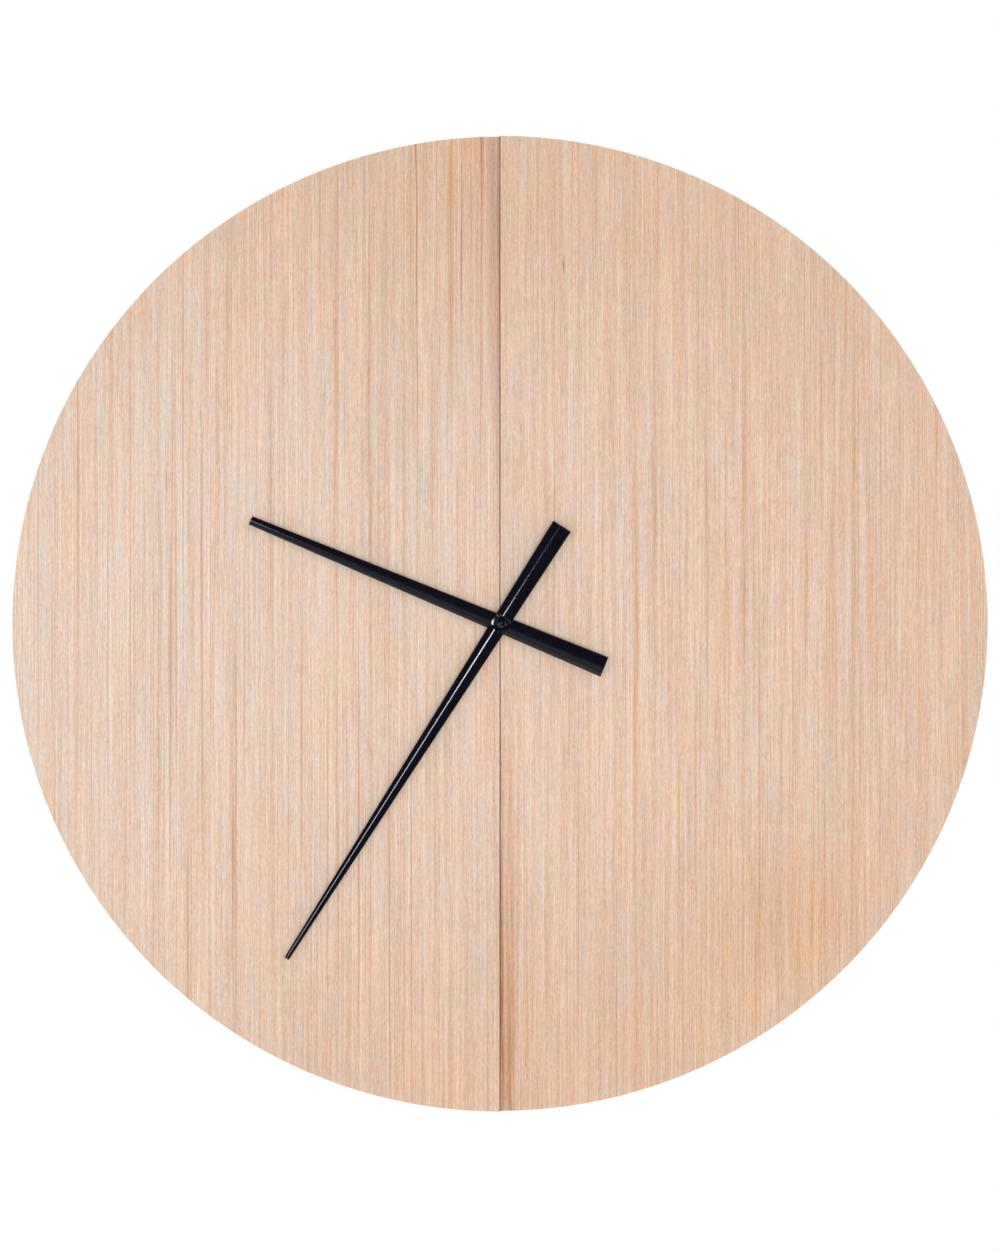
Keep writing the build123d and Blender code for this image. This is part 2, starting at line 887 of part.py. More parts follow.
def make_train_bridge():
    low = behind(bridge_level + bridge_thickness)
    high = behind(bridge_level)
    plate = block((bridge_left, bridge_right), (bridge_bottom, bridge_top), (low, high))
    plate = fillet(plate.edges().filter_by(Axis.Z), bridge_corner)
    for place in (third_place, fourth_place, intermediate_place, rotor_place):
        plate -= cylinder(pivot_radius + running_clearance, low, high, place)
    plate -= cylinder(centre_rear_radius + running_clearance, low, high)
    plate -= cylinder(setting_shaft_radius + setting_hole_clearance, low, high, setting_place)
    for place in pillar_places:
        plate -= cylinder(stake_radius, low, high, place)
    return plate


# ---- Motor ----


def make_stator_plate():
    low = behind(stator_level + stator_thickness)
    high = behind(stator_level)
    line = rotor_place[1]
    half_bar = stator_bar_width / 2
    half_leg = stator_leg_width / 2
    leg_top = coil_line + core_width / 2
    plate = block(
        (stator_left - half_leg, stator_right + half_leg),
        (line - half_bar, line + half_bar),
        (low, high),
    )
    for x in (stator_left, stator_right):
        plate += block((x - half_leg, x + half_leg), (line, leg_top), (low, high))
    plate += cylinder(stator_ring, low, high, rotor_place)
    return plate - cylinder(stator_bore, low, high, rotor_place)


def core_levels():
    high = behind(stator_level - stator_thickness)
    return high - stator_thickness, high


def make_coil_core():
    half = core_width / 2
    reach = stator_leg_width / 2
    return block(
        (stator_left - reach, stator_right + reach),
        (coil_line - half, coil_line + half),
        core_levels(),
    )


def coil_ends():
    inset = stator_leg_width / 2 + leg_clearance
    return stator_left + inset, stator_right - inset


def along_coil(radius, start, end):
    # A round solid along the coil's centre line.
    axis_height = sum(core_levels()) / 2
    middle = Pos((start + end) / 2, coil_line, axis_height)
    return middle * Rot(0, 90, 0) * Cylinder(radius, end - start)


def make_coil_bobbin():
    start, end = coil_ends()
    bobbin = along_coil(coil_tube_radius, start, end)
    bobbin += along_coil(coil_flange_radius, start, start + coil_flange_thickness)
    bobbin += along_coil(coil_flange_radius, end - coil_flange_thickness, end)
    half = core_width / 2 + bobbin_clearance
    low, high = core_levels()
    return bobbin - block(
        (start, end),
        (coil_line - half, coil_line + half),
        (low - bobbin_clearance, high + bobbin_clearance),
    )


def make_coil_winding():
    start, end = coil_ends()
    start += coil_flange_thickness
    end -= coil_flange_thickness
    return along_coil(coil_radius, start, end) - along_coil(coil_tube_radius, start, end)


# ---- Electronics and battery ----


def make_circuit_board():
    low = behind(board_level + board_thickness)
    return block((board_left, board_right), (board_bottom, board_top), (low, behind(board_level)))


def board_rear():
    return behind(board_level + board_thickness)


def make_chip():
    place = ((board_left + board_right) / 2, chip_line)
    return cylinder(chip_radius, board_rear() - chip_height, board_rear(), place)


def make_crystal():
    middle = Pos(
        (board_left + board_right) / 2, board_top - crystal_length, board_rear() - crystal_radius
    )
    return middle * Rot(90, 0, 0) * Cylinder(crystal_radius, crystal_length)


def battery_height():
    return case_inside - bay_clearance - battery_radius


def battery_ends():
    right = inner_half - contact_thickness
    return right - battery_length, right


def make_battery():
    left, right = battery_ends()
    shoulder = right - button_height
    height = battery_height()
    can = Pos((left + shoulder) / 2, battery_line, height) * Rot(0, 90, 0)
    can = can * Cylinder(battery_radius, shoulder - left)
    button = Pos((shoulder + right) / 2, battery_line, height) * Rot(0, 90, 0)
    return can + button * Cylinder(button_diameter / 2, button_height)


def tab_levels():
    # The strips that lead from the bay to the board lie just behind the board.
    return board_rear() - strip_width, board_rear()


def make_positive_contact():
    # Plate against the bay's right wall, with a strip up through the divider to the board.
    half = contact_width / 2
    height = battery_height()
    x_range = (inner_half - contact_thickness, inner_half)
    plate = block(x_range, (battery_line - half, divider_bottom), (height - half, height + half))
    low, high = tab_levels()
    return plate + block(x_range, (divider_bottom - half, board_bottom + half), (low, high))


def make_negative_contact():
    # Plate against the bay's left wall with a bent leaf that bears on the battery's flat end.
    half = contact_width / 2
    height = battery_height()
    left = -inner_half
    back = left + contact_thickness
    touch = battery_ends()[0]
    plate = block(
        (left, back), (battery_line - half, divider_bottom), (height - half, height + half)
    )
    leaf = Polygon(
        (back, height - half),
        (touch, height),
        (back, height + half),
        (back, height + half - 2 * contact_thickness),
        (touch - contact_thickness, height),
        (back, height - half + 2 * contact_thickness),
        align=None,
    )
    facing_up = Plane(origin=(0, battery_line + half / 2, 0), x_dir=(1, 0, 0), z_dir=(0, -1, 0))
    plate += extrude(facing_up * leaf, half)
    low, high = tab_levels()
    strip_top = divider_top + contact_thickness
    tab = (board_left, board_left + strip_width)
    plate += block((left, back), (divider_bottom - half, strip_top), (low, high))
    plate += block((left, tab[1]), (divider_top, strip_top), (low, high))
    return plate + block(tab, (divider_top, board_bottom + half), (high - tab_thickness, high))


def contact_slots():
    low, high = tab_levels()
    right = (inner_half - contact_thickness, inner_half)
    left = (-inner_half, -inner_half + contact_thickness)
    return [
        block(x_range, (divider_bottom, divider_top), (low, high)) for x_range in (left, right)
    ]


# ---- Assembly ----


def make_nodes():
    nodes = {}
    for side_name, side in (("left", -1), ("right", 1)):
        for name, shape in make_panel(side).items():
            nodes[f"{side_name}_{name}"] = shape
        for level_name, height in (("upper", rail_line), ("lower", -rail_line)):
            nodes[f"{level_name}_{side_name}_packer"] = make_packer(side, height)
            nodes[f"{level_name}_{side_name}_pad"] = make_pad(side, height)
    nodes["upper_rail"] = make_rail(rail_line)
    nodes["lower_rail"] = make_rail(-rail_line)
    nodes.update(make_rail_screws())
    nodes["hanger_plate"] = make_hanger_plate()
    nodes["hanger_screws"] = make_hanger_screws()
    nodes["movement_front_case"] = make_front_case()
    nodes["movement_rear_cover"] = make_rear_cover()
    nodes["threaded_bush"] = make_threaded_bush()
    nodes["rubber_washer"] = make_rubber_washer()
    nodes["fixing_washer"] = make_fixing_washer()
    nodes["fixing_nut"] = make_fixing_nut()
    nodes["train_bridge"] = make_train_bridge()
    nodes["coil_core"] = make_coil_core()
    nodes["coil_bobbin"] = make_coil_bobbin()
    nodes["coil_winding"] = make_coil_winding()
    nodes["stator_plate"] = make_stator_plate()
    nodes["rotor_magnet"] = make_rotor_magnet()
    nodes["rotor_pinion"] = make_rotor_pinion()
    nodes["intermediate_wheel"] = make_intermediate_wheel()
    nodes["fourth_wheel"] = make_fourth_wheel()
    nodes["third_wheel"] = make_third_wheel()
    nodes["centre_wheel"] = make_centre_wheel()
    nodes["minute_arbor"] = make_minute_arbor()
    nodes["minute_wheel"] = make_minute_wheel()
    nodes["hour_wheel"] = make_hour_wheel()
    nodes["setting_pinion"] = make_setting_pinion()
    nodes["setting_knob"] = make_setting_knob()
    nodes["circuit_board"] = make_circuit_board()
    nodes["chip"] = make_chip()
    nodes["crystal"] = make_crystal()
    nodes["battery"] = make_battery()
    nodes["positive_contact"] = make_positive_contact()
    nodes["negative_contact"] = make_negative_contact()
    nodes["hour_collet"] = make_hour_collet()
    nodes["hour_hand"] = make_hour_hand()
    nodes["minute_hand"] = make_minute_hand()
    nodes["cap_nut"] = make_cap_nut()
    return nodes


def stand_up(shape):
    # Hang the clock upright, with the origin at the hanger's entry hole.
    return Pos(0, 0, -entry_line) * Rot(90, 0, 0) * shape


os.makedirs("parts", exist_ok=True)
for node, shape in make_nodes().items():
    export_step(stand_up(shape), f"parts/{node}.step")
    print(node)
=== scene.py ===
import json
import math
import bpy
import bmesh
from mathutils import Matrix, Vector


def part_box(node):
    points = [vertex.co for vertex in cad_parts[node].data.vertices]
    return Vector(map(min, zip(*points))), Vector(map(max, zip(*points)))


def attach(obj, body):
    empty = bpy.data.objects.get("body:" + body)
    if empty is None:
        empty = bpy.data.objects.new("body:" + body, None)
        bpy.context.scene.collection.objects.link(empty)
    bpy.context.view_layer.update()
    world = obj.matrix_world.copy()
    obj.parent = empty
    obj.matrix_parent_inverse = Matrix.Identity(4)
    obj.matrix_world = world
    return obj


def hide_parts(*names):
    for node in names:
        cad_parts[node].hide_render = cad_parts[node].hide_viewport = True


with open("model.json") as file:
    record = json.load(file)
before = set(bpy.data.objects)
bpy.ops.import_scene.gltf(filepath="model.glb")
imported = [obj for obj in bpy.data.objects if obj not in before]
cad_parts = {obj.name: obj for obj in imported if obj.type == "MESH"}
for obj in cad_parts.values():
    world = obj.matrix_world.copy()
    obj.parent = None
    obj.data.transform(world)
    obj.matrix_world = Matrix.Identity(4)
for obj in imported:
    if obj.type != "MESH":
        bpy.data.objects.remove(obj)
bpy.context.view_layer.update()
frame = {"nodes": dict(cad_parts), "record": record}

record = frame["record"]
nodes = frame["nodes"]
mm = 0.001
metre = 1000  # in mm
nutLow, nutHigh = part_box("cap_nut")
hub = (nutLow + nutHigh) / 2
print("frame loaded:", len(nodes), "nodes")

# A Mix node's sockets share their names, so they are picked by place, for colours and for numbers
mixShare = 0
colourA, colourB, colourMixed = 6, 7, 2
numberA, numberB = 2, 3

# How every noise is drawn, and the values that nearly all of it lies between
noiseLook = {"roughness": 0.55, "firstTurn": 0.6, "nextTurn": 0.9}
noiseSpread = (0.3, 0.7)


def linear(hexColour):
    # sRGB hex to the linear values that shaders take
    values = [int(hexColour[i:i + 2], 16) / 255 for i in (1, 3, 5)]
    return [v / 12.92 if v <= 0.04045 else ((v + 0.055) / 1.055) ** 2.4 for v in values] + [1]


def addNode(tree, kind, inputs=(), output=0, **settings):
    # adds a node, sets its properties, fills or links its inputs, and gives back one output
    node = tree.nodes.new(kind)
    for key, value in settings.items():
        setattr(node, key, value)
    for key, value in inputs.items() if isinstance(inputs, dict) else enumerate(inputs):
        if isinstance(value, bpy.types.NodeSocket):
            tree.links.new(value, node.inputs[key])
        else:
            node.inputs[key].default_value = value
    return node.outputs[output] if node.outputs else node


def newMaterial(name):
    material = bpy.data.materials.new(name)
    material.use_nodes = True
    tree = material.node_tree
    tree.nodes.clear()
    surface = addNode(tree, "ShaderNodeBsdfPrincipled")
    addNode(tree, "ShaderNodeOutputMaterial", {"Surface": surface})
    return material, tree, surface.node


def noiseLayers(tree, here, layers, offset=(0, 0, 0)):
    # Adds up noises of several sizes. Each layer is cell size in mm along X, Y, Z, detail, weight.
    # The turn keeps a noise's own rows out of line with the grain.
    total = 0.0
    for index, (x, y, z, detail, weight) in enumerate(layers):
        turn = noiseLook["firstTurn"] + noiseLook["nextTurn"] * index
        point = addNode(tree, "ShaderNodeMapping", {
            "Vector": here, "Scale": (metre / x, metre / y, metre / z), "Location": offset,
            "Rotation": (0, turn, 0)})
        cloud = addNode(tree, "ShaderNodeTexNoise", {
            "Vector": point, "Scale": 1.0, "Detail": detail,
            "Roughness": noiseLook["roughness"]}, "Fac")
        total = addNode(tree, "ShaderNodeMath", (cloud, weight, total), operation="MULTIPLY_ADD")
    return total


def finishSurface(tree, shader, colour, height, depth, roughness):
    # colour, and one height that both roughens the surface and raises it by depth in mm
    tree.links.new(colour, shader.inputs["Base Color"])
    rough = addNode(tree, "ShaderNodeMapRange", (height, *noiseSpread, *roughness))
    tree.links.new(rough, shader.inputs["Roughness"])
    raised = addNode(tree, "ShaderNodeBump", {
        "Height": height, "Distance": depth * mm, "Strength": 1.0})
    tree.links.new(raised, shader.inputs["Normal"])


# Sliced oak veneer under matt lacquer: close upright grain with short pores in it, from cream to
# orange. The paler middle and warmer ends are painted light falloff: palest round the middle-left,
# where the light falls brightest, and warmer and darker towards the top, bottom and right. Real
# pores are 0.2 to 0.3 mm wide. They are drawn about three times as wide, so that they show when
# the whole dial is in view. Sizes in mm, heights and distances from the hub. A spread is the part
# of a pattern that is stretched to its full range.
veneer = {
    "pale": "#F9EFE5",
    "warm": "#F2DDC9",
    # painted light falloff: palest at this place, where the light falls brightest, warming away from
    # it
    "paintedLightCentre": (-220, 0),  # the palest place
    "toneStart": -0.15,
    "falloffAcross": 1.55,  # how fast it warms sideways, per metre
    "falloffUp": 9.8,  # and up or down, per square metre
    "toneDrift": [(60, 400, 260, 1, 0.3)],
    "grainDark": "#D8AC88",
    "grainLayers": [
        (5.0, 400, 160, 1, 0.13),
        (0.90, 400, 190, 1, 0.29),
        (0.95, 400, 30, 1, 0.18),
        (0.78, 400, 7, 1, 0.20),
        (0.80, 400, 2.4, 1, 0.20),
    ],
    "grainSpread": (0.32, 0.68),
    "tintGrey": "#F3FAFF",
    "tintOrange": "#FFFAF3",
    "tintLayers": [(1.6, 400, 12, 1, 0.36), (5, 400, 32, 1, 0.33), (22, 400, 130, 1, 0.31)],
    "tintSpread": (0.37, 0.63),
    "wander": 2.4,  # how far marks wind from side to side
    "wanderCell": (30, 400, 90),
    "streakLayers": [(1.7, 400, 60, 1, 1.0)],
    "streakSpread": (0.35, 0.6),
    "streakStrength": (0.35, 1.15),
    "line": "#B98563",
    "lineLayers": [(1.3, 400, 330, 0, 1.0)],
    "lineSpread": (0.69, 0.80),
    # painted shade of the groove along the seam
    "seamShade": "#5A2E1C",
    "easedEdge": 0.27,
    "roughness": (0.47, 0.60),
    "depth": 0.04,
}

# What a mark in the wood multiplies its colour by
markTones = {
    "orange": "#F2D8B2",
    "redBrown": "#DDB49C",
    "brown": "#DCC1A2",
    # painted shade beside the seam
    "paintedShadeGreyBrown": "#D6C3B8",
    "fleck": "#8F5C40",
}


def paintedFalloffTone(tree, here, offset):
    # how warm the wood is at a place, from 0 at the palest to 1: painted light falloff away from the
    # brightest place, with random drift
    place = addNode(tree, "ShaderNodeSeparateXYZ", (here,)).node.outputs
    centreAcross, centreUp = veneer["paintedLightCentre"]
    side = addNode(tree, "ShaderNodeMath", (place["X"], -centreAcross * mm), operation="ADD")
    side = addNode(tree, "ShaderNodeMath", (side,), operation="ABSOLUTE")
    up = addNode(tree, "ShaderNodeMath", (place["Z"], hub.z + centreUp * mm), operation="SUBTRACT")
    up = addNode(tree, "ShaderNodeMath", (up, 2.0), operation="POWER")
    tone = addNode(tree, "ShaderNodeMath", (side, veneer["falloffAcross"], veneer["toneStart"]),
        operation="MULTIPLY_ADD")
    tone = addNode(tree, "ShaderNodeMath", (up, veneer["falloffUp"], tone), operation="MULTIPLY_ADD")
    drift = noiseLayers(tree, here, veneer["toneDrift"], offset)
    return addNode(tree, "ShaderNodeMath", (tone, drift), operation="ADD", use_clamp=True)


def woodMarksAndPaintedShade(tree, here, wood, leaf):
    # soft-edged ellipses, from long bands of heartwood to single flecks, streaked inside, and some
    # bands of painted shade along the seam
    fromHub = addNode(tree, "ShaderNodeVectorMath", (here, (0, 0, hub.z)), operation="SUBTRACT")
    layer = (*veneer["wanderCell"], 1, veneer["wander"] * mm)
    wander = noiseLayers(tree, fromHub, [layer], leaf["offset"])
    wander = addNode(tree, "ShaderNodeCombineXYZ", {"X": wander})
    wandered = addNode(tree, "ShaderNodeVectorMath", (fromHub, wander), operation="ADD")
    streak = noiseLayers(tree, here, veneer["streakLayers"], leaf["markOffset"])
    streak = addNode(tree, "ShaderNodeMapRange", (
        streak, *veneer["streakSpread"], *veneer["streakStrength"]))
    for x, up, halfWidth, halfLength, toneName, strength in leaf["marks"]:
        centre = ((x + veneer["wander"] / 2) * mm, 0, up * mm)
        shrink = (1 / (halfWidth * mm), 0, 1 / (halfLength * mm))
        away = addNode(tree, "ShaderNodeVectorMath", (wandered, centre), operation="SUBTRACT")
        away = addNode(tree, "ShaderNodeVectorMath", (away, shrink), operation="MULTIPLY")
        away = addNode(tree, "ShaderNodeVectorMath", (away,), "Value", operation="LENGTH")
        mark = addNode(tree, "ShaderNodeMapRange", (away, 0.0, 1.0, strength, 0.0),
            interpolation_type="SMOOTHSTEP")
        mark = addNode(tree, "ShaderNodeMath", (mark, streak), operation="MULTIPLY", use_clamp=True)
        wood = addNode(tree, "ShaderNodeMix", {
            mixShare: mark, colourA: wood, colourB: linear(markTones[toneName])},
            colourMixed, data_type="RGBA", blend_type="MULTIPLY")
    return wood


def veneerMaterial(name, leaf):
    material, tree, shader = newMaterial(name)
    here = addNode(tree, "ShaderNodeTexCoord", (), "Object")
    tone = paintedFalloffTone(tree, here, leaf["offset"])
    wood = addNode(tree, "ShaderNodeMix", {
        mixShare: tone, colourA: linear(veneer["pale"]), colourB: linear(veneer["warm"])},
        colourMixed, data_type="RGBA")

    # grain: darker lines take away more blue than red
    grain = noiseLayers(tree, here, veneer["grainLayers"], leaf["offset"])
    share = addNode(tree, "ShaderNodeMapRange", (grain, *veneer["grainSpread"], 1.0, 0.0))
    wood = addNode(tree, "ShaderNodeMix", {
        mixShare: share, colourA: wood, colourB: linear(veneer["grainDark"])},
        colourMixed, data_type="RGBA", blend_type="MULTIPLY")

    # hue: the wood drifts between greyish cream and orange, apart from how dark it is
    hue = noiseLayers(tree, here, veneer["tintLayers"], leaf["markOffset"])
    hue = addNode(tree, "ShaderNodeMapRange", (hue, *veneer["tintSpread"], 0.0, 1.0))
    tint = addNode(tree, "ShaderNodeMix", {
        mixShare: hue, colourA: linear(veneer["tintGrey"]), colourB: linear(veneer["tintOrange"])},
        colourMixed, data_type="RGBA")
    wood = addNode(tree, "ShaderNodeMix", {mixShare: 1.0, colourA: wood, colourB: tint},
        colourMixed, data_type="RGBA", blend_type="MULTIPLY")
    wood = woodMarksAndPaintedShade(tree, here, wood, leaf)

    # hair-thin darker lines
    line = noiseLayers(tree, here, veneer["lineLayers"], leaf["markOffset"])
    line = addNode(tree, "ShaderNodeMapRange", (line, *veneer["lineSpread"], 0.0, leaf["lines"]))
    wood = addNode(tree, "ShaderNodeMix", {
        mixShare: line, colourA: wood, colourB: linear(veneer["line"])},
        colourMixed, data_type="RGBA")

    # painted shade: the eased edge along the seam is painted dark red-brown, as the groove between the
    # leaves looks in shade
    fromSeam = addNode(tree, "ShaderNodeSeparateXYZ", (here,), "X")
    fromSeam = addNode(tree, "ShaderNodeMath", (fromSeam,), operation="ABSOLUTE")
    seamShaded = addNode(tree, "ShaderNodeMath", (fromSeam, veneer["easedEdge"] * mm),
        operation="LESS_THAN")
    wood = addNode(tree, "ShaderNodeMix", {
        mixShare: seamShaded, colourA: wood, colourB: linear(veneer["seamShade"])},
        colourMixed, data_type="RGBA")
    finishSurface(tree, shader, wood, grain, veneer["depth"], veneer["roughness"])
    return material


# Oak edge banding, lacquered: its grain runs along the edge, round the rim or up the seam.
# Sizes in mm.
edgeBand = {
    "light": "#E6CBB2",
    "dark": "#C39A79",
    "rimRadius": 300,
    "alongRim": [(60, 1.1, 400, 3, 0.7), (7, 0.6, 400, 0, 0.3)],
    "alongSeam": [(400, 1.1, 60, 3, 0.7), (400, 0.6, 7, 0, 0.3)],
    "grainSpread": (0.36, 0.62),
    "roughness": (0.46, 0.60),
    "depth": 0.05,
}


def edgeBandMaterial(name, roundRim):
    material, tree, shader = newMaterial(name)
    here = addNode(tree, "ShaderNodeTexCoord", (), "Object")
    if roundRim:
        place = addNode(tree, "ShaderNodeSeparateXYZ", (here,)).node.outputs
        up = addNode(tree, "ShaderNodeMath", (place["Z"], hub.z), operation="SUBTRACT")
        turn = addNode(tree, "ShaderNodeMath", (place["X"], up), operation="ARCTAN2")
        arc = addNode(tree, "ShaderNodeMath", (turn, edgeBand["rimRadius"] * mm),
            operation="MULTIPLY")
        here = addNode(tree, "ShaderNodeCombineXYZ", (arc, place["Y"]))
    grain = noiseLayers(tree, here, edgeBand["alongRim" if roundRim else "alongSeam"])
    share = addNode(tree, "ShaderNodeMapRange", (grain, *edgeBand["grainSpread"], 0.0, 1.0))
    colour = addNode(tree, "ShaderNodeMix", {
        mixShare: share, colourA: linear(edgeBand["dark"]), colourB: linear(edgeBand["light"])},
        colourMixed, data_type="RGBA")
    finishSurface(tree, shader, colour, grain, edgeBand["depth"], edgeBand["roughness"])
    return material


def plainFinish(look):
    # two tones at the material's own grain size, with roughness and bump from the same pattern
    material, tree, shader = newMaterial(look["name"])
    here = addNode(tree, "ShaderNodeTexCoord", (), "Object")
    pattern = noiseLayers(tree, here, [(*look["grain"], look.get("detail", 3), 1.0)])
    share = addNode(tree, "ShaderNodeMapRange", (pattern, *noiseSpread, 0.0, 1.0))
    colour = addNode(tree, "ShaderNodeMix", {
        mixShare: share, colourA: linear(look["dark"]), colourB: linear(look["light"])},
        colourMixed, data_type="RGBA")
    shader.inputs["Metallic"].default_value = look.get("metallic", 0.0)
    finishSurface(tree, shader, colour, pattern, look["depth"], look["roughness"])
    return material


# The other finishes, by the record's slots. Each is named for its real material. Grain is in mm
# along X, Y and Z. Marks of turning and rolling are finer than this on real metal, and are drawn
# 0.25 mm wide or more so that they show close by.
finishes = {
    # fibreboard core: pressed brown fibres, dull
    "fibreboard": {
        "name": "pressedFibreboard", "light": "#A88867", "dark": "#8A6B4E",
        "grain": (0.8, 0.8, 0.8), "roughness": (0.8, 0.92), "depth": 0.06},
    # sawn poplar packer: pale, straight grain along its length
    "packer_wood": {
        "name": "sawnPoplar", "light": "#DCC29C", "dark": "#BE9C72",
        "grain": (60, 1.6, 1.6), "roughness": (0.6, 0.75), "depth": 0.05},
    # planed pine rail: yellow, wide straight grain along its length
    "rail_wood": {
        "name": "planedPine", "light": "#E2C79C", "dark": "#C79F6C",
        "grain": (90, 3.0, 3.0), "roughness": (0.55, 0.7), "depth": 0.05},
    # zinc-plated steel screw: pale, bright, faintly mottled
    "zinc_screw": {
        "name": "zincPlatedScrewSteel", "light": "#C9CBCB", "dark": "#A6A9AA",
        "grain": (0.9, 0.9, 0.9), "roughness": (0.25, 0.38), "metallic": 1.0, "depth": 0.004},
    # zinc-plated steel plate: rolled, fine lines along its length
    "zinc_plate": {
        "name": "zincPlatedRolledSteel", "light": "#C4C6C5", "dark": "#9EA1A1",
        "grain": (12, 0.5, 0.5), "roughness": (0.3, 0.45), "metallic": 1.0, "depth": 0.004},
    # wool felt: short fibres, fully dull
    "felt": {
        "name": "pressedWoolFelt", "light": "#7C6B5C", "dark": "#54473B",
        "grain": (0.5, 0.5, 0.5), "roughness": (0.93, 1.0), "depth": 0.15},
    # moulded ABS case: fine spark-eroded texture, satin black
    "black_case": {
        "name": "mouldedBlackAbs", "light": "#26262A", "dark": "#19191C",
        "grain": (0.35, 0.35, 0.35), "roughness": (0.48, 0.6), "depth": 0.012},
    # turned brass: warm yellow, faint turning marks
    "brass": {
        "name": "turnedBrass", "light": "#D9B865", "dark": "#B89243",
        "grain": (0.6, 0.25, 0.6), "roughness": (0.22, 0.36), "metallic": 1.0, "depth": 0.003},
    # nitrile rubber: dull black
    "rubber": {
        "name": "mouldedNitrileRubber", "light": "#242424", "dark": "#171717",
        "grain": (0.8, 0.8, 0.8), "roughness": (0.7, 0.85), "depth": 0.01},
    # moulded nylon wheel: cool white, slightly waxy
    "white_nylon": {
        "name": "mouldedWhiteNylon", "light": "#EFEDE6", "dark": "#DEDBD0",
        "grain": (2.5, 2.5, 2.5), "roughness": (0.32, 0.42), "depth": 0.003},
    # the same nylon in black
    "black_nylon": {
        "name": "mouldedBlackNylon", "light": "#2B2B2B", "dark": "#1C1C1C",
        "grain": (2.0, 2.0, 2.0), "roughness": (0.34, 0.44), "depth": 0.003},
    # enamelled copper wire: turns drawn 0.3 mm apart along the coil, coarser than real ones
    "copper_wire": {
        "name": "enamelledCopperWire", "light": "#C9793F", "dark": "#8E4A22",
        "grain": (0.3, 8, 8), "roughness": (0.25, 0.38), "metallic": 1.0, "depth": 0.05},
    # stamped soft iron: grey, rolled
    "motor_iron": {
        "name": "stampedSoftIron", "light": "#A9ABAD", "dark": "#8A8C8F",
        "grain": (6, 0.6, 0.6), "roughness": (0.35, 0.5), "metallic": 1.0, "depth": 0.004},
    # sintered magnet: dark grey, fine grains
    "magnet": {
        "name": "sinteredMagnet", "light": "#4A4B4E", "dark": "#34353A",
        "grain": (0.25, 0.25, 0.25), "roughness": (0.4, 0.55), "metallic": 1.0, "depth": 0.01},
    # epoxy-glass circuit board: green solder mask over a weave
    "board_laminate": {
        "name": "glassEpoxyLaminate", "light": "#2C6E3F", "dark": "#1E5530",
        "grain": (0.6, 0.6, 0.6), "roughness": (0.3, 0.42), "depth": 0.006},
    # potting epoxy: a glossy black drop
    "epoxy": {
        "name": "castBlackEpoxy", "light": "#17171A", "dark": "#0E0E10",
        "grain": (1.5, 1.5, 1.5), "roughness": (0.14, 0.22), "depth": 0.01},
    # drawn aluminium can of the crystal: bright, with faint lines along it
    "crystal_can": {
        "name": "drawnAluminium", "light": "#D5D7DA", "dark": "#B5B8BC",
        "grain": (0.4, 0.4, 3), "roughness": (0.16, 0.28), "metallic": 1.0, "depth": 0.003},
    # shrunk film sleeve of a plain cell: dark grey, glossy, nothing printed on it
    "battery_sleeve": {
        "name": "shrunkFilmSleeve", "light": "#34373B", "dark": "#26282C",
        "grain": (8, 1.2, 1.2), "roughness": (0.24, 0.34), "metallic": 0.4, "depth": 0.004},
    # nickel-plated spring strip: warm silver, rolled
    "contact_strip": {
        "name": "nickelPlatedSpringSteel", "light": "#D2D0CA", "dark": "#ADABA4",
        "grain": (4, 0.4, 0.4), "roughness": (0.22, 0.36), "metallic": 1.0, "depth": 0.003},
    # moulded polystyrene knob: pale grey, satin
    "grey_knob": {
        "name": "mouldedGreyPolystyrene", "light": "#DADAD6", "dark": "#C6C6C1",
        "grain": (1.2, 1.2, 1.2), "roughness": (0.4, 0.52), "depth": 0.006},
    # black stoved lacquer on formed steel: smooth, deep gloss with a faint orange peel
    "black_lacquer": {
        "name": "stovedBlackLacquer", "light": "#0C0B19", "dark": "#0A0917", "detail": 1,
        "grain": (3.0, 3.0, 3.0), "roughness": (0.07, 0.09), "depth": 0.0005},
    # black-plated brass nut, polished
    "black_nut": {
        "name": "polishedBlackPlating", "light": "#0F0E19", "dark": "#0A0914",
        "grain": (0.8, 0.8, 0.8), "roughness": (0.10, 0.15), "depth": 0.001},
}
materials = {slot: plainFinish(look) for slot, look in finishes.items()}

# Each leaf of veneer: where its pattern starts, how strong its hair lines are, and its marks as
# place across and up from the hub, half width and half length in mm, tone and strength.
leafLeft = {
    "offset": (2.0, 0, 5.0),
    "markOffset": (3.1, 0.4, 7.7),
    "lines": 0.5,
    "marks": [
        # The first mark, grey-brown along the seam high on the left leaf, where the proud right leaf
        # shades it, is painted shade.
        (-3.6, 250, 6.0, 260, "paintedShadeGreyBrown", 0.45), (-11.4, 300, 2.0, 130, "redBrown", 0.9),
        (-18, 240, 1.6, 160, "brown", 0.5), (-23.5, 230, 1.0, 90, "redBrown", 0.7),
        (-30, 270, 3.2, 240, "orange", 1.0), (-51.3, 250, 0.9, 180, "redBrown", 1.0),
        (-59, 0, 2.0, 420, "orange", 0.6), (-70.5, 100, 2.0, 300, "redBrown", 0.3),
        (-80, 60, 2.0, 330, "brown", 0.5), (-100.5, 0, 2.4, 420, "orange", 0.8),
        (-122, -40, 2.0, 320, "brown", 0.4), (-133, 60, 1.6, 320, "orange", 0.5),
        (-140, -60, 1.8, 300, "brown", 0.4), (-164, -120, 2.6, 200, "brown", 0.8),
        (-168, 100, 2.0, 260, "orange", 0.4), (-190, 0, 2.2, 300, "orange", 0.5),
        (-210, 40, 2.6, 280, "brown", 0.4), (-205, 88, 0.6, 14, "fleck", 0.6),
        (-184, 128, 0.5, 9, "fleck", 0.5), (-63, 62, 0.6, 10, "fleck", 0.5),
    ],
}
